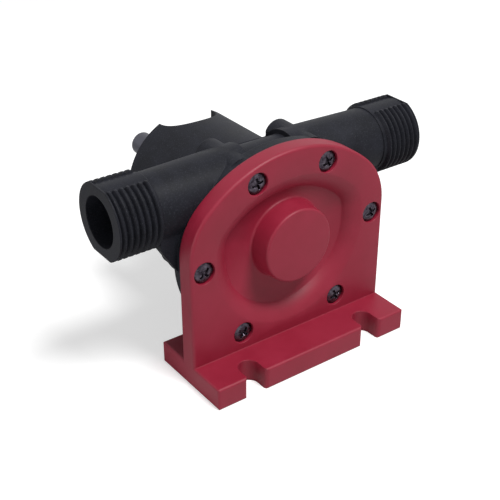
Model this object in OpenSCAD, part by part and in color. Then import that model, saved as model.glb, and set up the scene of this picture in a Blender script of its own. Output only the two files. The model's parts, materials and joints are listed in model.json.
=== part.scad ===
// Drill powered pump: a flexible impeller pump with two hose ports and a shaft for a drill chuck.
// The pump is drawn lying on its back, face up: x runs along the ports, y is up on the bench and
// z comes out of the front face, with zero at the joint between cover and housing. upright() then
// stands it on its foot, so the finished pump has the front at -Y and the drive shaft at +Y.

/* [Foot] */
// Length of the foot along the ports
foot_length = 83.7; // [74:0.1:110]
// Height of the foot
foot_height = 8.6; // [6:0.1:11]
// How far the foot reaches in front of the joint
foot_front = 21.5; // [18:0.1:32]
// How far the foot reaches behind the joint
foot_back = 14.1; // [8:0.1:22]
// Rounding of the foot's edges
foot_edge = 0.9; // [0.3:0.1:1.6]
// Width of a bolt slot in the foot
slot_width = 7.7; // [5:0.1:10]
// Depth of a bolt slot from the front edge
slot_depth = 8.9; // [6:0.1:12]
// Distance between the middles of the two bolt slots
slot_spacing = 51.8; // [44:0.1:58]
// Rounding of a slot's mouth
slot_mouth = 1.6; // [0.5:0.1:2.4]

/* [Cover] */
// Height of the shaft's middle over the bench
shaft_height = 45.1; // [44.5:0.1:48]
// Thickness of the cover plate
plate_thickness = 6.6; // [6:0.1:9]
// Rounding of the plate's front edge
plate_edge = 1.1; // [0.4:0.1:1.8]
// Radius of the arch's shoulders
shoulder_radius = 23.85; // [22.5:0.05:27]
// Distance of a shoulder's middle from the middle of the plate
shoulder_x = 18; // [17:0.1:19]
// Height of the shoulders' middles over the shaft
shoulder_over_shaft = 3.8; // [3:0.1:6]
// How far the middle of the arc over the top is under the shaft
arch_under_shaft = 15.1; // [13:0.1:16]
// Width of the flat rim around the dished face
rim_width = 10; // [9.6:0.1:12]
// Depth of the dished face
dish_depth = 4.4; // [3:0.1:4.6]
// Width of the dish's sloping wall
dish_run = 6.4; // [5:0.1:8]
// Rounding between the dish's floor and its wall and boss
dish_fillet = 0.9; // [0.4:0.1:1.4]
// Radius of the bearing boss at its front
boss_radius = 13.9; // [11:0.1:15]
// How much the boss widens towards the dish
boss_draft = 0.7; // [0.1:0.1:1.2]
// How far the boss stands out of the rim
boss_reach = 3.95; // [3:0.05:8]
// Rounding of the boss's front edge
boss_edge = 0.9; // [0.3:0.1:1.5]

/* [Screws] */
// Distance of the side and low screws from the plate's edge
screw_inset = 5.4; // [5.2:0.1:5.8]
// Distance of the top screws from the plate's edge
top_screw_inset = 6; // [5.4:0.1:6.4]
// Angle of the top screws from the upright
top_screw_angle = 19.7; // [18:0.1:22]
// Angle of the low screws below the level
low_screw_angle = 55; // [50:0.1:56]
// Radius of a screw head
screw_head_radius = 3.75; // [3:0.05:3.8]
// Height of a screw head
screw_head_height = 2.1; // [1.6:0.1:2.6]
// Width of the arms of a screw's cross recess
recess_arm = 0.8; // [0.5:0.05:1]
// Depth of the counterbore under a screw head
counterbore_depth = 1.9; // [1.2:0.1:2.5]
// Radius of the counterbore
counterbore_radius = 4.1; // [3.9:0.05:4.4]
// Radius of a screw's shank
screw_radius = 1.95; // [1.5:0.05:2]
// Length of a screw under its head
screw_length = 14; // [11:0.5:15]

/* [Housing] */
// Thickness of the housing's flange
flange_thickness = 5; // [3.5:0.1:6]
// Step from the cover's outline in to the flange's
flange_step = 0.85; // [0.2:0.05:1.5]
// Outer radius of the pump chamber
chamber_outer_radius = 28.6; // [27.8:0.1:30]
// Inner radius of the pump chamber
chamber_radius = 24.5; // [23:0.1:24.6]
// Depth of the pump chamber
chamber_depth = 19.5; // [19:0.1:22]
// Wall behind the chamber
back_wall = 2.8; // [2:0.1:4]
// Radius of the two top screw bosses
top_lug_radius = 5.8; // [4.6:0.1:6]
// Radius of the side and low screw bosses
lug_radius = 4.5; // [3.8:0.1:4.8]
// Length of the side and low screw bosses behind the flange
lug_length = 8; // [7:0.5:12]
// Outer radius of the sleeve round the drive shaft
sleeve_radius = 26.3; // [25:0.1:27.5]
// Wall of the sleeve
sleeve_wall = 2.8; // [2:0.1:4]
// How far the sleeve's rim is behind the joint
sleeve_reach = 60.2; // [52:0.1:70]
// Radius of the round notch in the sleeve's rim
sleeve_notch = 11.5; // [8:0.1:13]
// Outer radius of the bearing hub in the sleeve
hub_radius = 11.4; // [10.8:0.1:13]
// How far the hub's end is behind the joint
hub_reach = 38; // [38:0.1:44]
// Length of the ribs between hub and sleeve
hub_rib_length = 9; // [4:0.5:14]
// Height of the cam between the ports over the shaft's middle
cam_height = 21.3; // [21:0.1:22]
// Width of the cam between the ports
cam_width = 18; // [16:0.5:20]

/* [Ports] */
// Distance from one port's end to the other's
port_span = 127; // [120:0.5:150]
// Height of the ports over the shaft's middle
port_rise = 19.7; // [19:0.1:20.4]
// How far the ports' middle line is behind the joint
port_setback = 11.9; // [11.9:0.1:13]
// Radius of a port's bore
port_bore = 8.9; // [7:0.1:9.4]
// Length of the wide mouth of a port's bore
port_mouth = 20; // [17:0.5:23]
// Radius of the narrower passage behind the mouth
port_passage = 7.9; // [6:0.1:8.4]
// Outer radius of a port's pipe at its thread
pipe_radius = 11.8; // [11:0.1:11.85]
// How much the pipe's radius grows from the thread to the middle
pipe_draft = 1.2; // [0:0.1:1.6]
// Core radius under a port's thread
thread_core = 12.15; // [11.9:0.05:12.6]
// Outer radius of a port's thread
thread_radius = 13.5; // [13:0.05:14]
// Length of a port's thread
thread_length = 16; // [12:0.5:20]
// Half distance between the two flats of a thread
thread_flat = 12.25; // [12.2:0.05:12.9]
// Pitch of the thread
thread_pitch = 2.21; // [1.8:0.01:2.8]
// Width of a thread ridge at its crest
thread_crest = 0.36; // [0.2:0.02:0.5]
// Number of turns in a thread
thread_turns = 7; // [4:1:7]
// Distance of the first ridge from a port's end
thread_start = 0.9; // [0.9:0.05:1.5]
// Thickness of the plain collar at a port's end
collar = 0.6; // [0.4:0.1:0.8]
// Thickness of the gusset under a port
gusset = 4; // [2:0.5:6]
// How far the gusset's face is behind the joint
gusset_setback = 2.6; // [1:0.1:5]

/* [Shaft and bearings] */
// Radius of the drive shaft
shaft_radius = 4.75; // [4:0.05:4.8]
// How far the drive shaft's end is behind the joint
shaft_reach = 96; // [88:0.5:110]
// Radius of the shaft's front journal
journal_radius = 4; // [3.2:0.05:4]
// Running clearance of the shaft in its bushes
running_fit = 0.05; // [0.02:0.01:0.08]
// Chamfer at the shaft's end
shaft_chamfer = 1; // [0.4:0.1:1.5]
// Outer radius of the front bush
front_bush_radius = 7; // [6:0.1:8]
// Length of the front bush
front_bush_length = 7.6; // [5:0.1:8]
// Radius of the bore for seal and rear bush
hub_bore = 8.5; // [8.2:0.1:8.8]
// Length of the shaft seal
seal_length = 5.6; // [5:0.1:6]
// Thickness of the seal's steel case
seal_case_wall = 0.8; // [0.5:0.1:1]

/* [Impeller] */
// Number of vanes
vane_count = 8; // [6:1:10]
// Thickness of a vane
vane_thickness = 2.4; // [1.8:0.1:3]
// Radius of the bead along a vane's tip
vane_bead = 1.6; // [1.3:0.1:1.8]
// Outer radius of the rubber round the core
impeller_root = 11.2; // [10.5:0.1:12]
// Outer radius of the impeller's brass core
core_radius = 7.8; // [7:0.1:8.4]
// Clearance of the impeller in its chamber
impeller_gap = 0.3; // [0.2:0.05:0.5]
// Thickness of the two wear plates
wear_plate = 0.8; // [0.5:0.1:1]
// Radius of the drive pin
pin_radius = 1.5; // [1:0.1:1.6]

/* [Hidden] */
$fn = 96;
over = 1;
fit_gap = 0.2;

red = [0.56, 0.15, 0.2];
black = [0.14, 0.14, 0.15];
steel = [0.66, 0.66, 0.68];
bronze = [0.66, 0.5, 0.3];
rubber = [0.09, 0.09, 0.09];
brass = [0.78, 0.65, 0.34];

// Outline of cover and flange: a round lower half, short straight sides and an arch of three radii.
// The arcs meet on the line through both middles, so the top arc's radius follows from the others.
half_width = shoulder_x + shoulder_radius;
shoulder_height = shaft_height + shoulder_over_shaft;
arch_middle = shaft_height - arch_under_shaft;
shoulder_rise = shoulder_height - arch_middle;
arch_radius = shoulder_radius + sqrt(pow(shoulder_x, 2) + pow(shoulder_rise, 2));

top_screw_reach = arch_radius - top_screw_inset;
low_screw_reach = half_width - screw_inset;
top_places = [for (side = [-1, 1]) [side * top_screw_reach * sin(top_screw_angle),
                                    arch_middle + top_screw_reach * cos(top_screw_angle)]];
side_places = [for (side = [-1, 1]) [side * low_screw_reach, shaft_height]];
low_places = [for (side = [-1, 1]) [side * low_screw_reach * cos(low_screw_angle),
                                    shaft_height - low_screw_reach * sin(low_screw_angle)]];
small_places = concat(side_places, low_places);
screw_places = concat(top_places, small_places);

port_height = shaft_height + port_rise;
port_end = port_span / 2;
chamber_back = chamber_depth + back_wall;
boss_front = plate_thickness + boss_reach;
dish_floor = plate_thickness - dish_depth;
screw_seat = plate_thickness - counterbore_depth;
pilot_radius = screw_radius * 0.87;
pilot_depth = screw_length - screw_seat + fit_gap;
thread_arc = 140;
thread_sink = 0.15;
collar_step = 0.1;
ridge_round = 0.22;
journal_bore = journal_radius + running_fit;
shaft_bore = shaft_radius + running_fit;

// Face seal in the flange, between the chamber and the screws.
seal_section = 1.3;
seal_ring_radius = chamber_radius + 1.4 * seal_section;
groove_width = 1.3 * seal_section;

// Stack along the shaft, from the chamber's back wall to the end of the hub.
seal_front = chamber_back + fit_gap;
bush_front = seal_front + seal_length + fit_gap;
circlip_thickness = 1;
circlip_groove = 0.7;
bush_back = hub_reach - 2 * circlip_thickness;
washer_thickness = 0.8;
washer_radius = shaft_radius + 2.4;
rear_washer_radius = hub_radius - 0.8;
clip_depth = 0.5;
clip_front = hub_reach + washer_thickness + fit_gap / 2;
slinger_front = clip_front + circlip_thickness + fit_gap;
slinger_length = 2.6;
slinger_groove = 0.4;

impeller_front = wear_plate + impeller_gap;
impeller_back = chamber_depth - wear_plate - impeller_gap;
vane_tip = chamber_radius - impeller_gap - vane_bead;
pin_place = (impeller_front + impeller_back) / 2;
bent_radius = (cam_height - impeller_gap - vane_bead - impeller_root + vane_thickness / 2) / sin(80);

round_steps = 6;
dish_steps = 10;
slot_span = slot_width / 2;

// Stands the pump on its foot.
module upright() {
    rotate([90, 0, 0]) children();
}

module at_shaft(depth = 0) {
    translate([0, shaft_height, -depth]) children();
}

// A tube or disc on the shaft's line, from one depth behind the joint to another.
module shaft_ring(outer, inner, front, back) {
    at_shaft(back) difference() {
        cylinder(r = outer, h = back - front);
        if (inner > 0) translate([0, 0, -over]) cylinder(r = inner, h = back - front + 2 * over);
    }
}

module sector(angle, start) {
    rotate([0, 0, start]) rotate_extrude(angle = angle) children();
}

// Outer strip of a plate's profile, with the front edge rounded.
module edge_strip(radius, thickness, edge) {
    inner = radius - 2 * edge;
    translate([inner, 0]) square([2 * edge, thickness - edge]);
    translate([inner, 0]) square([edge, thickness]);
    translate([radius - edge, thickness - edge]) circle(r = edge);
}

module rounded_rect(left, right, low, high, edge) {
    translate([left + edge, low]) square([right - left - 2 * edge, high - low]);
    translate([left, low + edge]) square([right - left, high - low - 2 * edge]);
    for (x = [left + edge, right - edge], y = [low + edge, high - edge])
        translate([x, y]) circle(r = edge);
}

// Wedges that cut each arc at the line where it meets the next one.
module top_wedge() {
    translate([0, arch_middle]) polygon([[0, 0], 4 * [shoulder_x, shoulder_rise],
                                         4 * [-shoulder_x, shoulder_rise]]);
}

module side_wedge() {
    translate([shoulder_x, shoulder_height])
        polygon([[0, 0], [4 * shoulder_x, 0], 4 * [shoulder_x, shoulder_rise]]);
}

// The upper outline drawn in by an inset.
module arch_top(inset) {
    intersection() {
        translate([0, arch_middle]) circle(r = arch_radius - inset);
        top_wedge();
    }
    for (turn = [0, 1]) mirror([turn, 0]) intersection() {
        translate([shoulder_x, shoulder_height]) circle(r = shoulder_radius - inset);
        side_wedge();
    }
}

// Flat outline of the arch with a round lower half.
module arch_outline(inset) {
    width = half_width - inset;
    arch_top(inset);
    translate([-width, shaft_height]) square([2 * width, shoulder_height - shaft_height]);
    translate([0, shaft_height]) intersection() {
        circle(r = width);
        translate([-width, -width - over]) square([2 * width, width + over]);
    }
}

// Carries a strip's profile all the way over the arch and down both sides to a height.
module along_arch(inset, low) {
    intersection() {
        translate([0, arch_middle, 0]) rotate_extrude()
            translate([arch_radius - inset, 0]) children();
        linear_extrude(plate_thickness + over) top_wedge();
    }
    for (turn = [0, 1]) mirror([turn, 0, 0]) {
        intersection() {
            translate([shoulder_x, shoulder_height, 0]) rotate_extrude()
                translate([shoulder_radius - inset, 0]) children();
            linear_extrude(plate_thickness + over) side_wedge();
        }
        translate([0, shoulder_height, 0]) rotate([90, 0, 0]) linear_extrude(shoulder_height - low)
            translate([half_width - inset, 0]) children();
    }
}

// Flat outline of the plate, from inside the foot up.
module plate_outline(inset) {
    width = half_width - inset;
    arch_top(inset);
    translate([-width, foot_height / 2]) square([2 * width, shoulder_height - foot_height / 2]);
}

// Profile of the dish's wall from the floor up: a short fillet out of the floor, then one arc that
// grows flatter until it runs into the rim. wall_turn is the angle of the wall where the two meet.
wall_turn = 2 * atan(dish_depth / dish_run);
wall_radius = dish_run / sin(wall_turn) - dish_fillet;
dish_wall = concat(
    [for (i = [0 : round_steps]) let (turn = wall_turn * i / round_steps)
        [dish_fillet * sin(turn) - dish_run, dish_floor + dish_fillet * (1 - cos(turn))]],
    [for (i = [1 : dish_steps]) let (turn = wall_turn * (1 - i / dish_steps))
        [-wall_radius * sin(turn), plate_thickness - wall_radius * (1 - cos(turn))]],
    [[over, plate_thickness], [over, dish_floor / 2], [-dish_run, dish_floor / 2]]);

// Upright plate: a rim with its front edge rounded over the arch, the dish's floor and its wall.
module cover_plate() {
    linear_extrude(plate_thickness) difference() {
        plate_outline(1.5 * plate_edge);
        arch_outline(rim_width);
    }
    linear_extrude(dish_floor) plate_outline(1.5 * plate_edge);
    along_arch(0, foot_height / 2) edge_strip(0, plate_thickness, plate_edge);
    along_arch(rim_width, shaft_height) polygon(dish_wall);
    intersection() {
        at_shaft() rotate_extrude() translate([half_width - rim_width, 0]) polygon(dish_wall);
        translate([-half_width, shaft_height - half_width, 0])
            cube([2 * half_width, half_width, plate_thickness + over]);
    }
}

// Bearing boss in the middle of the dish, slightly tapered, rounded in front and filleted at its root.
module cover_boss() {
    height = boss_front - dish_floor / 2;
    root = boss_radius + boss_draft;
    at_shaft(-dish_floor / 2) rotate_extrude() polygon(concat(
        [[0, 0], [root + dish_fillet, 0]],
        [for (i = [0 : round_steps]) let (turn = 90 * i / round_steps)
            [root + dish_fillet * (1 - sin(turn)), dish_floor / 2 + dish_fillet * (1 - cos(turn))]],
        [for (i = [0 : round_steps]) let (turn = 90 * i / round_steps)
            [boss_radius - boss_edge * (1 - cos(turn)), height - boss_edge * (1 - sin(turn))]],
        [[0, height]]));
}

// Flat outline of the foot with its two bolt slots, each with rounded lips at the mouth.
module foot_plan() {
    difference() {
        rounded_rect(-foot_length / 2, foot_length / 2, -foot_back, foot_front, foot_edge);
        for (side = [-1, 1]) translate([side * slot_spacing / 2, foot_front]) {
            translate([0, slot_span - slot_depth]) circle(r = slot_span);
            translate([-slot_span, slot_span - slot_depth]) square([slot_width, slot_depth]);
            for (lip = [-1, 1]) difference() {
                translate([lip * slot_span - (lip < 0 ? slot_mouth : 0), -slot_mouth])
                    square([slot_mouth, 2 * slot_mouth]);
                translate([lip * (slot_span + slot_mouth), -slot_mouth]) circle(r = slot_mouth);
            }
        }
    }
}

module foot() {
    intersection() {
        rotate([90, 0, 0]) mirror([0, 0, 1]) linear_extrude(foot_height) foot_plan();
        translate([0, 0, -foot_back]) linear_extrude(foot_back + foot_front)
            rounded_rect(-foot_length / 2, foot_length / 2, 0, foot_height, foot_edge);
        rotate([0, -90, 0]) translate([0, 0, -foot_length / 2]) linear_extrude(foot_length)
            rounded_rect(-foot_back, foot_front, 0, foot_height, foot_edge);
    }
}

module front_cover() {
    color(red) upright() difference() {
        union() {
            cover_plate();
            cover_boss();
            foot();
        }
        shaft_ring(front_bush_radius, 0, -front_bush_length - fit_gap, over);
        for (place = screw_places) translate([place[0], place[1], screw_seat]) {
            cylinder(r = counterbore_radius, h = counterbore_depth + over);
            translate([0, 0, -screw_seat - over])
                cylinder(r = screw_radius + fit_gap, h = screw_seat + 2 * over);
        }
    }
}

// A screw boss behind the flange.
module lug(place, radius, length) {
    translate([place[0], place[1], -flange_thickness - length])
        cylinder(r = radius, h = length + flange_thickness / 2);
}

// Rib that ties a small screw boss to the chamber's wall.
module lug_rib(place) {
    turn = atan2(place[1] - shaft_height, place[0]);
    at_shaft(flange_thickness + lug_length) rotate([0, 0, turn])
        translate([chamber_radius + over, -flange_step - over, 0])
            cube([low_screw_reach - chamber_radius - over, 2 * (flange_step + over), lug_length + over]);
}

// Half a turn of thread as an exact ring with a rounded crest. It leans by the lead angle, one way
// behind the pipe and the other way in front, so its middle stays within a tenth of a millimetre of
// the true helix.
module thread_half(front) {
    crest = thread_crest / 2;
    brow = crest + ridge_round;
    foot = brow + (thread_radius - ridge_round - thread_core + thread_sink) * tan(30);
    lean = atan2(thread_pitch, 2 * PI * thread_radius);
    rotate([front ? -lean : lean, 0, 0]) sector(thread_arc, -thread_arc / 2 + (front ? 180 : 0))
        polygon([[thread_core - thread_sink, -foot], [thread_radius - ridge_round, -brow],
                 [thread_radius, -crest], [thread_radius, crest],
                 [thread_radius - ridge_round, brow], [thread_core - thread_sink, foot]]);
}

// The two ports' pipes, which widen towards the middle and stay behind the joint.
module port_pipes() {
    widest = pipe_radius + pipe_draft;
    intersection() {
        translate([0, port_height, -port_setback]) for (turn = [-90, 90]) rotate([0, turn, 0])
            rotate([0, 0, 90]) cylinder(r1 = widest, r2 = pipe_radius, h = port_end - thread_length);
        translate([-port_end, port_height - 2 * widest, -port_setback - 2 * widest])
            cube([port_span, 4 * widest, port_setback + 2 * widest]);
    }
}

// One port's thread and end collar. Two flats, above and below, part the thread in the mould.
module port_thread() {
    rotate([0, 90, 0]) {
        translate([0, 0, port_end - thread_length - over / 2]) rotate([0, 0, 90])
            cylinder(r = thread_core, h = thread_length + over / 2);
        intersection() {
            translate([-thread_radius, -thread_flat, 0])
                cube([2 * thread_radius, 2 * thread_flat, port_end + over]);
            translate([0, 0, port_end - collar]) rotate([0, 0, 90])
                cylinder(r = thread_radius - collar_step, h = collar);
        }
        intersection() {
            translate([-thread_radius, -thread_flat, 0])
                cube([2 * thread_radius, 2 * thread_flat, port_end - collar / 6]);
            for (i = [0 : thread_turns - 1], front = [0, 1])
                translate([0, 0, port_end - thread_start - thread_pitch * (i + (1 - front) / 2)])
                    thread_half(front == 1);
        }
    }
}

// Triangular gusset between the port's underside and the flange.
module port_gusset() {
    tip = port_end - thread_length - over / 2;
    side = half_width - flange_step;
    translate([0, 0, -gusset_setback - gusset]) linear_extrude(gusset)
        polygon([[tip, port_height - pipe_radius / 2], [tip, port_height - thread_core],
                 [side, shaft_height - lug_radius / 2], [chamber_outer_radius - over, shaft_height],
                 [chamber_outer_radius - over, port_height - pipe_radius / 2]]);
}

// Hollow of the pump chamber: a round bore with the cam left standing between the two ports.
module chamber_hollow() {
    difference() {
        shaft_ring(chamber_radius, 0, -over, chamber_depth);
        translate([0, shaft_height, -chamber_depth - over]) linear_extrude(chamber_depth + 3 * over)
            polygon([[-cam_width / 2, cam_height], [cam_width / 2, cam_height],
                     [cam_width / 2, chamber_outer_radius], [-cam_width / 2, chamber_outer_radius]]);
    }
    for (side = [0, 1]) mirror([side, 0, 0]) translate([0, port_height, -port_setback])
        rotate([0, 90, 0]) {
            translate([0, 0, cam_width / 2]) cylinder(r = port_passage, h = port_end);
            translate([0, 0, port_end - port_mouth]) cylinder(r = port_bore, h = port_mouth + over);
        }
}

// Sleeve round the drive shaft, with a round notch at the top of its rim and four ribs to the hub.
module sleeve() {
    difference() {
        shaft_ring(sleeve_radius, sleeve_radius - sleeve_wall, chamber_depth, sleeve_reach);
        translate([0, shaft_height, -sleeve_reach]) rotate([-90, 0, 0])
            cylinder(r = sleeve_notch, h = sleeve_radius + over);
    }
    for (i = [0 : 3]) at_shaft(chamber_back + hub_rib_length) rotate([0, 0, 45 + 90 * i])
        translate([hub_radius - over, -sleeve_wall / 2, 0])
            cube([sleeve_radius - hub_radius, sleeve_wall, hub_rib_length + over]);
}

module pump_housing() {
    foot_clear = foot_height + fit_gap;
    color(black) upright() difference() {
        union() {
            translate([0, 0, -flange_thickness]) linear_extrude(flange_thickness)
                arch_outline(flange_step);
            shaft_ring(chamber_outer_radius, 0, 0, chamber_back);
            sleeve();
            shaft_ring(hub_radius, 0, chamber_depth, hub_reach);
            for (place = top_places) lug(place, top_lug_radius, chamber_back - flange_thickness);
            for (place = small_places) {
                lug(place, lug_radius, lug_length);
                lug_rib(place);
            }
            port_pipes();
            for (turn = [0, 180]) translate([0, port_height, -port_setback])
                rotate([0, turn, 0]) port_thread();
            for (turn = [0, 1]) mirror([turn, 0, 0]) port_gusset();
        }
        chamber_hollow();
        shaft_ring(shaft_bore + fit_gap, 0, chamber_depth - over, hub_reach);
        shaft_ring(hub_bore, 0, chamber_back, hub_reach + over);
        shaft_ring(hub_bore + circlip_groove, 0, bush_back, bush_back + circlip_thickness);
        at_shaft(seal_section) difference() {
            cylinder(r = seal_ring_radius + groove_width / 2, h = seal_section + over);
            translate([0, 0, -over])
                cylinder(r = seal_ring_radius - groove_width / 2, h = seal_section + 3 * over);
        }
        for (place = screw_places) translate([place[0], place[1], -pilot_depth])
            cylinder(r = pilot_radius, h = pilot_depth + over);
        translate([-foot_length / 2, foot_clear - foot_height, -foot_back])
            cube([foot_length, foot_height, foot_back + over]);
    }
}

module cover_seal() {
    color(rubber) upright() at_shaft(seal_section / 2) rotate_extrude()
        translate([seal_ring_radius, 0]) circle(r = seal_section / 2, $fn = 24);
}

// Pan head screws, all alike: domed head with a cross recess, plain shank in the cover and a core in
// the housing.
module cover_screw() {
    crown = pow(screw_head_radius, 2) / screw_head_height;
    arm = 1.15 * screw_head_radius;
    difference() {
        intersection() {
            cylinder(r = screw_head_radius, h = screw_head_height);
            translate([0, 0, screw_head_height - crown]) sphere(r = crown);
        }
        for (turn = [0, 90]) rotate([0, 0, turn])
            translate([-arm / 2, -recess_arm / 2, screw_head_height * 0.35])
                cube([arm, recess_arm, screw_head_height]);
    }
    translate([0, 0, -screw_seat]) cylinder(r = screw_radius, h = screw_seat + screw_head_height / 2);
    translate([0, 0, -screw_length]) cylinder(r = pilot_radius, h = screw_length);
}

module cover_screws() {
    color("dimgray") upright() for (place = screw_places)
        translate([place[0], place[1], screw_seat]) cover_screw();
}

module wear_plate_front() {
    difference() {
        shaft_ring(chamber_radius - fit_gap / 2, washer_radius + fit_gap, 0, wear_plate);
        cam_clear();
    }
}

module wear_plate_rear() {
    difference() {
        shaft_ring(chamber_radius - fit_gap / 2, shaft_bore + fit_gap, chamber_depth - wear_plate,
                   chamber_depth);
        cam_clear();
    }
}

// Straight cut that fits a wear plate under the cam.
module cam_clear() {
    translate([-chamber_radius, shaft_height + cam_height - fit_gap / 2, -chamber_depth - over])
        cube([2 * chamber_radius, chamber_radius, chamber_depth + 2 * over]);
}

module drive_shaft() {
    color(steel) upright() difference() {
        union() {
            shaft_ring(journal_radius, 0, fit_gap - front_bush_length, washer_thickness + over);
            shaft_ring(shaft_radius, 0, washer_thickness + fit_gap / 2, shaft_reach - shaft_chamfer);
            at_shaft(shaft_reach) cylinder(r1 = shaft_radius - shaft_chamfer, r2 = shaft_radius,
                                           h = shaft_chamfer);
        }
        cross_pin(over);
        shaft_ring(shaft_radius + over, shaft_radius - clip_depth, clip_front,
                   clip_front + circlip_thickness);
        shaft_ring(shaft_radius + over, shaft_radius - slinger_groove, slinger_front,
                   slinger_front + slinger_length);
    }
}

// The drive pin, or with some extra length the hole for it.
module cross_pin(extra = 0) {
    half = core_radius - fit_gap + extra;
    at_shaft(pin_place) translate([-half, 0, 0]) rotate([0, 90, 0])
        cylinder(r = pin_radius, h = 2 * half);
}

module impeller_core() {
    color(brass) upright() difference() {
        shaft_ring(core_radius, shaft_radius, impeller_front, impeller_back);
        cross_pin(over);
    }
}

// A vane that stands straight out to the chamber's wall.
module straight_vane() {
    translate([-vane_thickness / 2, 0]) square([vane_thickness, vane_tip]);
    translate([0, vane_tip]) circle(r = vane_bead);
}

// The vane that the cam has pressed over, bent along an arc.
module bent_vane() {
    bend_start = impeller_root - vane_thickness / 2;
    translate([bent_radius, bend_start]) intersection() {
        difference() {
            circle(r = bent_radius + vane_thickness / 2);
            circle(r = bent_radius - vane_thickness / 2);
        }
        polygon([[0, 0], [-2 * bent_radius, 0], [-2 * bent_radius, 2 * bent_radius],
                 [-2 * bent_radius * cos(80), 2 * bent_radius * sin(80)]]);
    }
    translate([bent_radius * (1 - cos(80)), bend_start + bent_radius * sin(80)])
        circle(r = vane_bead);
}

module impeller() {
    color(rubber) upright() at_shaft(impeller_back) linear_extrude(impeller_back - impeller_front)
        difference() {
            union() {
                circle(r = impeller_root);
                bent_vane();
                for (i = [1 : vane_count - 1]) rotate(360 * i / vane_count) straight_vane();
            }
            circle(r = core_radius);
        }
}

// Steel case of the shaft seal: a short tube with a collar turned in at its back.
module seal_case() {
    seal_back = seal_front + seal_length;
    shaft_ring(hub_bore, hub_bore - seal_case_wall, seal_front, seal_back);
    shaft_ring(hub_bore, shaft_radius + 1.6 * seal_case_wall, seal_back - seal_case_wall, seal_back);
}

// Rubber of the seal: a flat body inside the case and a lip that closes on the shaft.
lip_root = seal_front + seal_length - seal_case_wall;
lip_thickness = 1.1;
spring_wire = 0.45;
spring_place = seal_front + 2 * lip_thickness;
spring_ring = shaft_bore + lip_thickness + spring_wire;

module seal_lip() {
    shaft_ring(hub_bore - seal_case_wall, shaft_bore + lip_thickness / 2, lip_root - lip_thickness,
               lip_root);
    difference() {
        shaft_ring(shaft_bore + lip_thickness, shaft_bore, seal_front + lip_thickness / 2, lip_root);
        at_shaft(spring_place) rotate_extrude()
            translate([spring_ring, 0]) circle(r = spring_wire, $fn = 24);
    }
}

module seal_spring() {
    at_shaft(spring_place) rotate_extrude()
        translate([spring_ring, 0]) circle(r = spring_wire, $fn = 24);
}

// Spring ring with a gap and two ears, flat in a groove.
module ring_clip(outer, inner, front, ear_in) {
    gap = 2 * circlip_thickness;
    ear = 1.5 * circlip_thickness;
    at_shaft(front + circlip_thickness) linear_extrude(circlip_thickness) difference() {
        union() {
            difference() {
                circle(r = outer);
                circle(r = inner);
            }
            for (side = [-1, 1]) translate([side * gap, ear_in ? inner : outer]) circle(r = ear);
        }
        translate([-gap / 2, 0]) square([gap, outer + 2 * ear]);
        if (!ear_in) circle(r = inner);
        if (ear_in) difference() {
            circle(r = outer + 2 * ear);
            circle(r = outer);
        }
    }
}

front_cover();
pump_housing();
cover_seal();
cover_screws();
color(steel) upright() wear_plate_front();
color(steel) upright() wear_plate_rear();
color(bronze) upright()  // front_bush
    shaft_ring(front_bush_radius, journal_bore, -front_bush_length, 0);
color(bronze) upright()  // rear_bush
    shaft_ring(hub_bore, shaft_bore, bush_front, bush_back);
color(steel) upright() seal_case();
color(rubber) upright() seal_lip();
color(steel) upright() seal_spring();
color(steel) upright()  // bush_circlip
    ring_clip(hub_bore + circlip_groove, hub_bore - circlip_thickness, bush_back, true);
drive_shaft();
impeller_core();
impeller();
color(steel) upright() cross_pin();  // drive_pin
color(steel) upright()  // thrust_washer_front
    shaft_ring(washer_radius, journal_radius, fit_gap / 2, washer_thickness + fit_gap / 2);
color(steel) upright()  // thrust_washer_rear
    shaft_ring(rear_washer_radius, shaft_radius, hub_reach + fit_gap / 2, clip_front);
color(steel) upright()  // shaft_circlip
    ring_clip(shaft_radius + 1.3 * circlip_thickness, shaft_radius - clip_depth, clip_front, false);
color(rubber) upright()  // slinger_ring
    shaft_ring(washer_radius, shaft_radius - slinger_groove, slinger_front,
               slinger_front + slinger_length - fit_gap / 2);
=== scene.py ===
# Drill powered pump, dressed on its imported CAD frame. Lengths are in metres unless a note says otherwise.
import bpy
import bmesh
import json
import math
from mathutils import Matrix, Vector


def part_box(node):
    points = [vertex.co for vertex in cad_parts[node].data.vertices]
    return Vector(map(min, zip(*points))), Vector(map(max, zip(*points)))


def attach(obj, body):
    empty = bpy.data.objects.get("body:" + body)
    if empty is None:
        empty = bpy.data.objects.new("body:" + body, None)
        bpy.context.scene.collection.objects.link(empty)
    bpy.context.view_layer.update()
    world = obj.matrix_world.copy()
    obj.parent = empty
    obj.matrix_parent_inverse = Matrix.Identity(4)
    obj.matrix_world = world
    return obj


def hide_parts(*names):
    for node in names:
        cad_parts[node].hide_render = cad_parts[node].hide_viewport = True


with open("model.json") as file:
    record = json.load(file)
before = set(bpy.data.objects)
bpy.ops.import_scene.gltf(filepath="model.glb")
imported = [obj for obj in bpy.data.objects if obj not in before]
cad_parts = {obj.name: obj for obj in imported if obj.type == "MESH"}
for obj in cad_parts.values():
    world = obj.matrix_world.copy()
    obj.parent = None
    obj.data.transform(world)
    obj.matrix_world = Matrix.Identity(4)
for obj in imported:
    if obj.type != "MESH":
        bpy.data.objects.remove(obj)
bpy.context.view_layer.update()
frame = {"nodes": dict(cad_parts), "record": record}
nodes = frame["nodes"]
mm = 0.001
mergeReach = 1e-6  # points of a CAD mesh that lie nearer than this are one point
screwPlaces = ((14.82, 71.38), (36.45, 45.1), (20.91, 15.24))  # right half, x and z in millimetres


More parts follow.
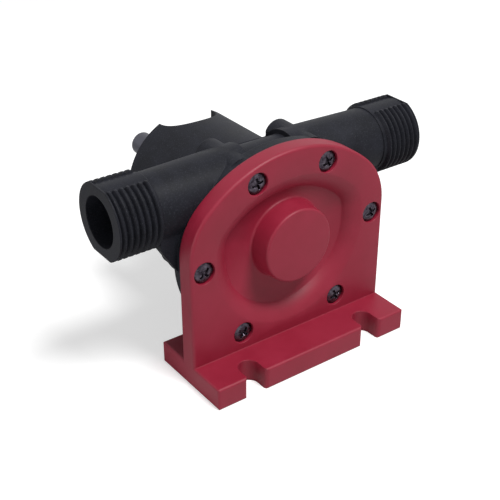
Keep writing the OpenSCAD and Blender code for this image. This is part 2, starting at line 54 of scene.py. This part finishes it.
# A socket that adds its Math nodes as an expression is written
class Wire:
    def __init__(self, tree, socket):
        self.tree = tree
        self.socket = socket

    def maths(self, operation, *values):
        return self.tree.node("ShaderNodeMath", {"operation": operation}, **{
            "i%d" % index: value for index, value in enumerate(values)}).output()

    def __add__(self, other):
        return self.maths("ADD", self, other)

    def __radd__(self, other):
        return self.maths("ADD", other, self)

    def __sub__(self, other):
        return self.maths("SUBTRACT", self, other)

    def __rsub__(self, other):
        return self.maths("SUBTRACT", other, self)

    def __mul__(self, other):
        return self.maths("MULTIPLY", self, other)

    def __rmul__(self, other):
        return self.maths("MULTIPLY", other, self)

    def __truediv__(self, other):
        return self.maths("DIVIDE", self, other)

    def __rtruediv__(self, other):
        return self.maths("DIVIDE", other, self)


# Any node tree: a node's settings come first, then the values or links of its sockets. A socket is
# given by its name, or by i and its number.
class NodeTree:
    def __init__(self, tree):
        self.tree = tree

    def node(self, kind, settings=None, **values):
        made = self.tree.nodes.new(kind)
        for key, value in (settings or {}).items():
            setattr(made, key, value)
        for key, value in values.items():
            numbered = key[0] == "i" and key[1:].isdigit()
            socket = made.inputs[int(key[1:]) if numbered else key]
            for entry in value if isinstance(value, list) else [value]:
                if isinstance(entry, Wire):
                    self.tree.links.new(entry.socket, socket)
                else:
                    socket.default_value = entry
        self.last = made
        return self

    def output(self, which=0):
        return Wire(self, self.last.outputs[which])


# A material under construction: its shader, its object coordinates and the nodes most finishes use
class Finish(NodeTree):
    def __init__(self, name, constants):
        self.material = bpy.data.materials.new(name)
        self.material.use_nodes = True
        super().__init__(self.material.node_tree)
        self.shader = self.tree.nodes["Principled BSDF"]
        for socket, value in constants.items():
            self.shader.inputs[socket].default_value = value
        self.place = self.node("ShaderNodeTexCoord").output("Object")

    def noise(self, scale, detail=2.0, roughness=0.5, stretch=(1, 1, 1)):
        place = self.node("ShaderNodeMapping", Vector=self.place, Scale=stretch).output()
        return self.node("ShaderNodeTexNoise", Vector=place, Scale=scale, Detail=detail,
                         Roughness=roughness).output()

    def mix(self, share, first, second):
        return self.node("ShaderNodeMix", {"data_type": "RGBA"}, i0=share, i6=first, i7=second).output(2)

    def clamp(self, value):
        return self.node("ShaderNodeClamp", Value=value).output()

    # the share of a colour that shows where a noise rises above start
    def above(self, noise, start, gain):
        return self.clamp((noise - start) * gain)

    def edges(self, radius):
        return self.node("ShaderNodeBevel", {"samples": 6}, Radius=radius).output()

    def bump(self, height, depth, strength, **onto):
        return self.node("ShaderNodeBump", Height=height, Distance=depth, Strength=strength,
                         **onto).output()

    def feed(self, socket, value):
        self.tree.links.new(value.socket, self.shader.inputs[socket])


def addPiece(name, mesh):
    piece = bpy.data.objects.new(name, mesh)
    bpy.context.scene.collection.objects.link(piece)
    return piece


def meshFrom(name, shape):
    mesh = bpy.data.meshes.new(name)
    shape.to_mesh(mesh)
    shape.free()
    return mesh


# Works out a piece's modifiers into a plain mesh
def applyModifiers(piece):
    bpy.context.view_layer.update()
    ready = piece.evaluated_get(bpy.context.evaluated_depsgraph_get())
    mesh = bpy.data.meshes.new_from_object(ready)
    piece.modifiers.clear()
    piece.data = mesh


# A CAD node's mesh with its loose triangles merged, as a new object
def mergedCopy(name, node):
    shape = bmesh.new()
    shape.from_mesh(nodes[node].data)
    bmesh.ops.remove_doubles(shape, verts=shape.verts, dist=mergeReach)
    return addPiece(name, meshFrom(name, shape))


# Smooth shading, except across edges that turn by more than the given degrees
def shadeByAngle(mesh, degrees):
    shape = bmesh.new()
    shape.from_mesh(mesh)
    crease = math.radians(degrees)
    for edge in shape.edges:
        edge.smooth = len(edge.link_faces) == 2 and edge.calc_face_angle() < crease
    for face in shape.faces:
        face.smooth = True
    shape.to_mesh(mesh)
    shape.free()


# A closed block between -reach and reach in x; its outline is points of y and z, all in millimetres
def addBlock(name, outline, reach):
    shape = bmesh.new()
    left, right = [[shape.verts.new((x * mm, y * mm, z * mm)) for y, z in outline] for x in (-reach, reach)]
    shape.faces.new(left)
    shape.faces.new(right[::-1])
    for index in range(len(outline)):
        after = (index + 1) % len(outline)
        shape.faces.new((left[after], left[index], right[index], right[after]))
    bmesh.ops.recalc_face_normals(shape, faces=shape.faces)
    return addPiece(name, meshFrom(name, shape))


# A Geometry Nodes tree with named sizes, run once on a piece and turned into a plain mesh
class Recipe(NodeTree):
    def __init__(self, name, sizes):
        group = bpy.data.node_groups.new(name, "GeometryNodeTree")
        super().__init__(group)
        self.sizes = sizes
        self.sockets = {}
        for way in ("INPUT", "OUTPUT"):
            group.interface.new_socket("Geometry", in_out=way, socket_type="NodeSocketGeometry")
        for label, value in sizes.items():
            kind = "NodeSocketInt" if isinstance(value, int) else "NodeSocketFloat"
            made = group.interface.new_socket(label, in_out="INPUT", socket_type=kind)
            self.sockets[label] = made.identifier
        self.source = group.nodes.new("NodeGroupInput")
        self.base = self.size("Geometry")

    def size(self, label):
        return Wire(self, self.source.outputs[label])

    def vector(self, x=0.0, y=0.0, z=0.0):
        return self.node("ShaderNodeCombineXYZ", X=x, Y=y, Z=z).output()

    def lifted(self, geometry, height):
        return self.node("GeometryNodeTransform", Geometry=geometry,
                         Translation=self.vector(z=height)).output()

    def finish(self, piece, geometry, material):
        real = self.node("GeometryNodeRealizeInstances", Geometry=geometry).output()
        dressed = self.node("GeometryNodeSetMaterial", Geometry=real, Material=material).output()
        self.tree.links.new(dressed.socket, self.tree.nodes.new("NodeGroupOutput").inputs[0])
        modifier = piece.modifiers.new("recipe", "NODES")
        modifier.node_group = self.tree
        for label, identifier in self.sockets.items():
            modifier[identifier] = self.sizes[label]
        applyModifiers(piece)


# A screen colour from 0 to 255, as the shader's linear numbers
def colour(*screen):
    linear = [c / 255 / 12.92 if c <= 10 else ((c / 255 + 0.055) / 1.055) ** 2.4 for c in screen]
    return (*linear, 1.0)


def mouldedRed():
    look = {"base": colour(132, 20, 44), "pale": colour(142, 29, 53), "mottle": 90, "pale from": 0.35,
            "pale gain": 2.2, "grain": 1500, "pores": 420, "pore share": 0.3, "skin depth": 0.00006,
            "skin strength": 0.5, "edge": 0.0005, "rough": 0.43, "rough mottle": 0.16, "rough grain": 0.08}
    f = Finish("mouldedRed", {"IOR": 1.48, "Specular IOR Level": 0.42})
    mottle = f.noise(look["mottle"], detail=4, roughness=0.6)
    grain = f.noise(look["grain"], detail=3, roughness=0.6)
    pale = f.above(mottle, look["pale from"], look["pale gain"])
    rough = look["rough"] + look["rough mottle"] * mottle + look["rough grain"] * (grain - 0.5)
    skin = grain * (1 - look["pore share"]) + f.noise(look["pores"]) * look["pore share"]
    edges = f.edges(look["edge"])
    f.feed("Base Color", f.mix(pale, look["base"], look["pale"]))
    f.feed("Roughness", f.clamp(rough))
    f.feed("Normal", f.bump(skin, look["skin depth"], look["skin strength"], Normal=edges))
    return f.material


def mouldedBlack():
    look = {"base": colour(21, 22, 27), "dusty": colour(36, 37, 44), "speck": colour(56, 57, 64),
            "mottle": 130, "dust from": 0.3, "dust gain": 2, "speckle": 2300, "specks from": 0.54,
            "speck gain": 4, "grain": 1700, "grain depth": 0.00008, "grain strength": 0.6,
            "edge": 0.0004, "rough": 0.4, "rough mottle": 0.22}
    f = Finish("mouldedBlack", {"IOR": 1.5, "Specular IOR Level": 0.1})
    mottle = f.noise(look["mottle"], detail=4, roughness=0.6)
    speckle = f.noise(look["speckle"], detail=3, roughness=0.6)
    grain = f.noise(look["grain"], detail=4, roughness=0.65)
    skin = f.mix(f.above(mottle, look["dust from"], look["dust gain"]), look["base"], look["dusty"])
    specks = f.above(speckle, look["specks from"], look["speck gain"])
    edges = f.edges(look["edge"])
    f.feed("Base Color", f.mix(specks, skin, look["speck"]))
    f.feed("Roughness", f.clamp(look["rough"] + look["rough mottle"] * mottle))
    f.feed("Normal", f.bump(grain, look["grain depth"], look["grain strength"], Normal=edges))
    return f.material


# Bare metal as it leaves the lathe: fine rings along the shaft's direction under dull smudges
def turnedMetal(name, tone, rough):
    look = {"rings": 900, "ring stretch": (0.05, 1, 0.05), "ring depth": 0.00002, "ring strength": 0.4,
            "smudges": 160, "bright from": 0.154, "bright gain": 1.3, "dark": 0.72, "rough rings": 0.14,
            "rough smudges": 0.1}
    f = Finish(name, {"Metallic": 1.0})
    rings = f.noise(look["rings"], detail=3, roughness=0.6, stretch=look["ring stretch"])
    smudges = f.noise(look["smudges"], detail=4, roughness=0.6)
    bright = colour(*tone)
    dark = (*(c * look["dark"] for c in bright[:3]), 1)
    f.feed("Base Color", f.mix(f.above(smudges, look["bright from"], look["bright gain"]), dark, bright))
    f.feed("Roughness", f.clamp(rough + look["rough rings"] * rings + look["rough smudges"] * smudges))
    f.feed("Normal", f.bump(rings, look["ring depth"], look["ring strength"]))
    return f.material


def blackOxide():
    look = {"dark": colour(50, 42, 52), "worn": colour(104, 97, 108), "wear": 700, "worn from": 0.4,
            "worn gain": 3, "wear depth": 0.00003, "wear strength": 0.4, "edge": 0.00025, "rough": 0.16,
            "rough wear": 0.25}
    f = Finish("blackOxide", {"Metallic": 0.9})
    wear = f.noise(look["wear"], detail=4, roughness=0.65)
    worn = f.above(wear, look["worn from"], look["worn gain"])
    edges = f.edges(look["edge"])
    f.feed("Base Color", f.mix(worn, look["dark"], look["worn"]))
    f.feed("Roughness", f.clamp(look["rough"] + look["rough wear"] * wear))
    f.feed("Normal", f.bump(wear, look["wear depth"], look["wear strength"], Normal=edges))
    return f.material


def blackRubber():
    look = {"base": colour(24, 24, 24), "dusty": colour(40, 40, 40), "dust": 400, "dust from": 0.214,
            "dust gain": 1.4, "dust depth": 0.00005, "dust strength": 0.5, "rough": 0.62, "rough dust": 0.2}
    f = Finish("blackRubber", {"Specular IOR Level": 0.35})
    dust = f.noise(look["dust"], detail=4, roughness=0.6)
    dusty = f.above(dust, look["dust from"], look["dust gain"])
    f.feed("Base Color", f.mix(dusty, look["base"], look["dusty"]))
    f.feed("Roughness", f.clamp(look["rough"] + look["rough dust"] * dust))
    f.feed("Normal", f.bump(dust, look["dust depth"], look["dust strength"]))
    return f.material


finishes = {
    "red_plastic": mouldedRed(),
    "black_plastic": mouldedBlack(),
    "blackened_steel": blackOxide(),
    "plain_steel": turnedMetal("plainSteel", (176, 176, 178), 0.34),
    "shaft_steel": turnedMetal("groundSteel", (90, 90, 99), 0.3),
    "bronze": turnedMetal("sinteredBronze", (176, 132, 84), 0.45),
    "brass": turnedMetal("turnedBrass", (205, 172, 96), 0.3),
    "rubber": blackRubber(),
}
for part in frame["record"]["subparts"]:
    materials = nodes[part["node"]].data.materials
    materials.clear()
    materials.append(finishes[part["material_slot"]])
print("materials on the CAD nodes")


# The cover: a merged copy of its CAD node whose dish gets the photographed wall. That wall leaves the
# rim at a crisp angle and grows steeper towards the floor. Lengths in millimetres, angles in degrees.
def makeCover():
    cover = {"half width": 41.85, "rim": 10.0, "shoulder": (18.0, 48.9, 23.85), "arch middle": 30.0,
             "shaft": 45.1, "plate": 6.6, "depth": 4.4, "run": 6.4, "first slope": 20, "last slope": 54,
             "clear of screws": 4.4, "clear of rim": 0.02, "clear of floor": 0.001, "crease": 13}
    shoulderX, shoulderZ, shoulderRadius = cover["shoulder"]
    archRadius = shoulderRadius + math.hypot(shoulderX, shoulderZ - cover["arch middle"])
    archSlope = (shoulderZ - cover["arch middle"]) / shoulderX
    first, last = (math.tan(math.radians(cover[k])) for k in ("first slope", "last slope"))
    scale = cover["depth"] / (cover["run"] * (first + (last - first) / 3))

    # how far a point lies inside the dish's edge
    def inFromRim(x, z):
        if z < cover["shaft"]:
            edge = cover["half width"] - math.hypot(x, z - cover["shaft"])
        elif z < shoulderZ and x > shoulderX / 2:
            edge = cover["half width"] - x
        elif z - cover["arch middle"] > archSlope * x:
            edge = archRadius - math.hypot(x, z - cover["arch middle"])
        else:
            edge = shoulderRadius - math.hypot(x - shoulderX, z - shoulderZ)
        return edge - cover["rim"]

    def onWall(x, z, inward, depth):
        toScrew = min(math.hypot(x - a, z - b) for a, b in screwPlaces)
        onRun = cover["clear of rim"] < inward < cover["run"]
        onSlope = cover["clear of floor"] < depth < cover["depth"] - cover["clear of floor"]
        return onRun and onSlope and toScrew >= cover["clear of screws"]

    def wallDepth(share):
        return scale * cover["run"] * (first * share + (last - first) * share ** 3 / 3)

    # the creases are those of the CAD's own wall, so they are chosen before it moves
    piece = mergedCopy("frontCover", "front_cover")
    shadeByAngle(piece.data, cover["crease"])
    moved = 0
    for vertex in piece.data.vertices:
        x, y, z = (c / mm for c in vertex.co)
        inward = inFromRim(abs(x), z)
        if onWall(abs(x), z, inward, cover["plate"] + y):
            vertex.co.y = (wallDepth(inward / cover["run"]) - cover["plate"]) * mm
            moved += 1
    piece.data.update()
    piece.data.materials.append(finishes["red_plastic"])
    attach(piece, "pump")
    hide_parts("front_cover")
    print("cover:", moved, "points of the dish's wall eased")


# The housing: its CAD node with the pipe between the two top screw lugs pared down to a slimmer neck,
# so that the lugs stand clear of it. Lengths in millimetres, angles in degrees.
def makeHousing():
    neck = {"radius": 11.0, "half length": 9.6, "pipe height": 64.8, "pipe depth": 11.9, "front": 5.02,
            "last turn": 146, "steps": 40, "ledge": (6, 3), "top": 90, "crease": 24}
    firstTurn = math.acos((neck["pipe depth"] - neck["front"]) / neck["radius"])
    lastTurn = math.radians(neck["last turn"])
    outline = []
    for step in range(neck["steps"] + 1):
        turn = firstTurn + (lastTurn - firstTurn) * step / neck["steps"]
        outline.append((neck["pipe depth"] - neck["radius"] * math.cos(turn),
                        neck["pipe height"] + neck["radius"] * math.sin(turn)))
    back, low = (a + b for a, b in zip(outline[-1], neck["ledge"]))
    outline += [(back, low), (back, neck["top"]), (outline[0][0], neck["top"])]

    piece = mergedCopy("pumpHousing", "pump_housing")
    cutter = addBlock("neckCutter", outline, neck["half length"])
    pare = piece.modifiers.new("pare", "BOOLEAN")
    pare.operation = "DIFFERENCE"
    pare.solver = "EXACT"
    pare.object = cutter
    applyModifiers(piece)
    bpy.data.objects.remove(cutter)
    shadeByAngle(piece.data, neck["crease"])
    piece.data.materials.clear()
    piece.data.materials.append(finishes["black_plastic"])
    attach(piece, "pump")
    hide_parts("pump_housing")
    print("housing:", len(piece.data.polygons), "faces")


# Six pan head screws, each turned its own way: one tree makes a screw and sets it on the points of
# its mesh, which stand where the cover's counterbores are. The arms' reach and the cone's two ends are
# shares of the head's radius, and the cone's sink is a share of the recess's depth.
def makeScrews():
    screws = {"sizes": {"Head radius": 3.75 * mm, "Head height": 2.1 * mm, "Arm width": 0.95 * mm,
                        "Recess depth": 1.5 * mm, "Shank radius": 1.95 * mm, "Shank length": 14 * mm,
                        "Turn seed": 4},
              "arm reach": 1.2, "cone top": 0.34, "cone bottom": 0.1, "cone sink": 1.05,
              "shank overlap": 0.3 * mm, "whole turn": 6.283, "head segments": 64, "crown rings": 96,
              "cone segments": 24, "shank segments": 32}
    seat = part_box("cover_screws")[0][1] + screws["sizes"]["Head height"]
    mesh = bpy.data.meshes.new("screwPlaces")
    mesh.from_pydata([(side * x * mm, seat, z * mm) for side in (-1, 1) for x, z in screwPlaces], [], [])
    piece = addPiece("coverScrews", mesh)

    r = Recipe("screwRecipe", screws["sizes"])
    radius, height = r.size("Head radius"), r.size("Head height")
    arm, depth, length = (r.size(k) for k in ("Arm width", "Recess depth", "Shank length"))
    crown = radius * radius / height
    ball = r.node("GeometryNodeMeshUVSphere", Segments=screws["head segments"],
                  Rings=screws["crown rings"], Radius=crown).output()
    drum = r.node("GeometryNodeMeshCylinder", Vertices=screws["head segments"], Radius=radius,
                  Depth=height * 2).output()
    head = r.node("GeometryNodeMeshBoolean", {"operation": "INTERSECT", "solver": "EXACT"},
                  i1=[r.lifted(ball, height - crown), r.lifted(drum, height)]).output()
    cutters = []
    reach = radius * screws["arm reach"]
    for x, y in ((reach, arm), (arm, reach)):
        bar = r.node("GeometryNodeMeshCube", Size=r.vector(x, y, depth * 2)).output()
        cutters.append(r.lifted(bar, height))
    ends = {"Radius Top": radius * screws["cone top"], "Radius Bottom": radius * screws["cone bottom"]}
    cone = r.node("GeometryNodeMeshCone", {"fill_type": "NGON"}, Vertices=screws["cone segments"],
                  Depth=depth, **ends).output()
    cutters.append(r.lifted(cone, height - depth * screws["cone sink"]))
    head = r.node("GeometryNodeMeshBoolean", {"operation": "DIFFERENCE", "solver": "EXACT"},
                  i0=head, i1=cutters).output()
    shank = r.node("GeometryNodeMeshCylinder", Vertices=screws["shank segments"],
                   Radius=r.size("Shank radius"), Depth=length).output()
    shank = r.lifted(shank, screws["shank overlap"] - length / 2)
    screw = r.node("GeometryNodeJoinGeometry", Geometry=[head, shank]).output()
    forward = r.node("GeometryNodeTransform", Geometry=screw, Rotation=(math.radians(90), 0, 0)).output()
    spin = r.node("FunctionNodeRandomValue", {"data_type": "FLOAT"}, i2=0.0, i3=screws["whole turn"],
                  Seed=r.size("Turn seed")).output(1)
    placed = r.node("GeometryNodeInstanceOnPoints", Points=r.base, Instance=forward,
                    Rotation=r.vector(y=spin)).output()
    r.finish(piece, placed, finishes["blackened_steel"])
    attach(piece, "pump")
    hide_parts("cover_screws")
    print("cover screws:", len(piece.data.polygons), "faces")


makeCover()
makeHousing()
makeScrews()

# Floor, world and lamps. A lamp has its place, the side of its square and its power in watts.
stage = {"floor reach": 3.0, "floor shade": 0.74, "floor glow": 0.56, "world": 0.12, "aim": (0, 0, 0.04),
         "lamps": {"overhead": ((0.12, -0.43, 0.93), 0.35, 10.8), "left": ((-0.9, -0.12, 0.25), 0.6, 2.2)}}


# The floor glows for the camera alone, so that it is white there and still takes the pump's shadow
def makeFloor():
    reach, shade = stage["floor reach"], stage["floor shade"]
    mesh = bpy.data.meshes.new("floor")
    corners = [(-reach, -reach, 0), (reach, -reach, 0), (reach, reach, 0), (-reach, reach, 0)]
    mesh.from_pydata(corners, [], [(0, 1, 2, 3)])
    floor = addPiece("floor", mesh)
    f = Finish("paleFloor", {"Base Color": (shade, shade, shade, 1), "Roughness": 0.9,
                             "Specular IOR Level": 0.1, "Emission Strength": stage["floor glow"]})
    seen = f.node("ShaderNodeLightPath").output("Is Camera Ray")
    f.feed("Emission Color", f.mix(seen, (0, 0, 0, 1), (1, 1, 1, 1)))
    mesh.materials.append(f.material)


# The world is white for the camera and in reflections, and lights the pump only faintly
def makeWorld():
    world = bpy.data.worlds.new("studio")
    bpy.context.scene.world = world
    world.use_nodes = True
    w = NodeTree(world.node_tree)
    w.node("ShaderNodeLightPath")
    seen = w.node("ShaderNodeMath", {"operation": "MAXIMUM"}, i0=w.output("Is Camera Ray"),
                  i1=w.output("Is Glossy Ray")).output()
    level = w.node("ShaderNodeMapRange", Value=seen,
                   **{"To Min": stage["world"], "To Max": 1.0}).output()
    background = w.tree.nodes["Background"]
    background.inputs["Color"].default_value = (1, 1, 1, 1)
    w.tree.links.new(level.socket, background.inputs["Strength"])


def makeLamp(name, place, size, power):
    data = bpy.data.lights.new(name, "AREA")
    data.shape = "RECTANGLE"
    data.size = data.size_y = size
    data.energy = power
    lamp = bpy.data.objects.new(name, data)
    bpy.context.scene.collection.objects.link(lamp)
    lamp.location = place
    lamp.rotation_euler = (Vector(stage["aim"]) - Vector(place)).to_track_quat("-Z", "Y").to_euler()


makeFloor()
makeWorld()
for name, lamp in stage["lamps"].items():
    makeLamp(name, *lamp)

# Camera, as fitted to the photograph: angles in degrees, lengths in millimetres, focal length and
# centre in pixels of the photograph's frame
shot = {"azimuth": -37.764, "elevation": 30.404, "roll": 0.865, "distance": 360.65, "focal": 1016.89,
        "centre": (280.59, 253.30), "target": (-0.053, 0, 37.202), "frame": 500, "sensor": 36,
        "nearest": 10}


def makeCamera():
    az, el, roll = (math.radians(shot[k]) for k in ("azimuth", "elevation", "roll"))
    back = Vector((math.sin(az) * math.cos(el), -math.cos(az) * math.cos(el), math.sin(el)))
    right = Vector((0, 0, 1)).cross(back).normalized()
    up = back.cross(right)
    right, up = math.cos(roll) * right + math.sin(roll) * up, math.cos(roll) * up - math.sin(roll) * right
    middle = shot["frame"] / 2
    data = bpy.data.cameras.new("camera")
    data.sensor_width = shot["sensor"]
    data.lens = shot["sensor"] * shot["focal"] / shot["frame"]
    data.shift_x = (middle - shot["centre"][0]) / shot["frame"]
    data.shift_y = (shot["centre"][1] - middle) / shot["frame"]
    data.clip_start = shot["nearest"] * mm
    camera = bpy.data.objects.new("camera", data)
    bpy.context.scene.collection.objects.link(camera)
    place = Vector(shot["target"]) * mm + back * shot["distance"] * mm
    camera.matrix_world = Matrix.Translation(place) @ Matrix((right, up, back)).transposed().to_4x4()
    bpy.context.scene.camera = camera


makeCamera()
bpy.context.scene.view_settings.view_transform = "Standard"
print("stage, lights and camera")
